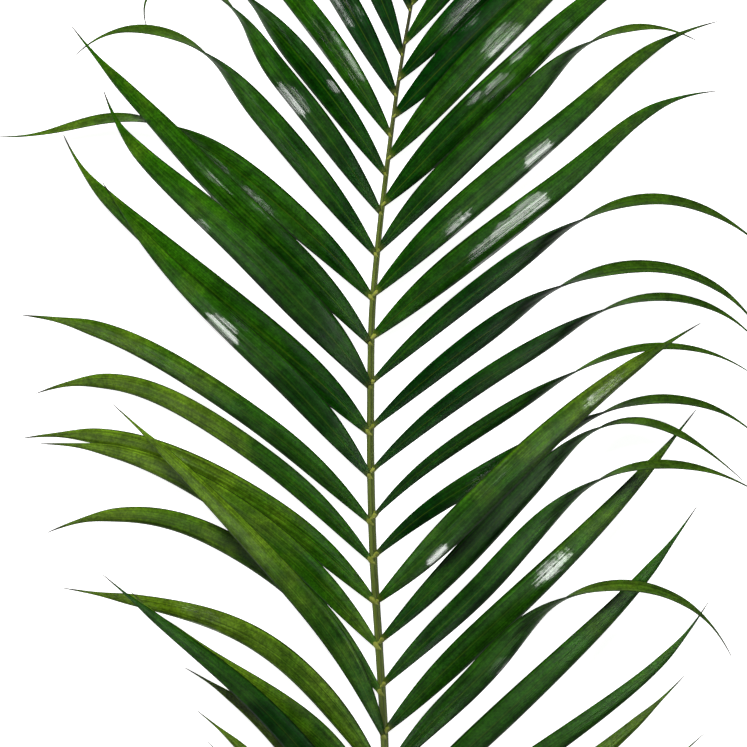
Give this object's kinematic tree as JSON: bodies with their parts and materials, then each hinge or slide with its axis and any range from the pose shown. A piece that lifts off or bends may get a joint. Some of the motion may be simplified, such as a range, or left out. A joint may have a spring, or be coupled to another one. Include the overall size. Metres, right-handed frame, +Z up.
{
  "type": "feather palm leaf",
  "caption": "Cut feather palm leaf with a bare stalk and two rows of long narrow arching leaflets, lying face up.",
  "frame": {"origin": "on the stem's flat underside, near the middle of the leaf, where the leaf rests on the surface", "axes": "+Z up out of the leaf's face, +Y along the stem towards the leaf's tip, +X to the right seen from above"},
  "size_m": [0.5201, 1.1244, 0.0486],
  "materials": {
    "leaf": "fresh green leaf with a satin sheen, olive stem"
  },
  "bodies": {
    "root": {"palm_leaf": "leaf"}
  },
  "joints": []
}
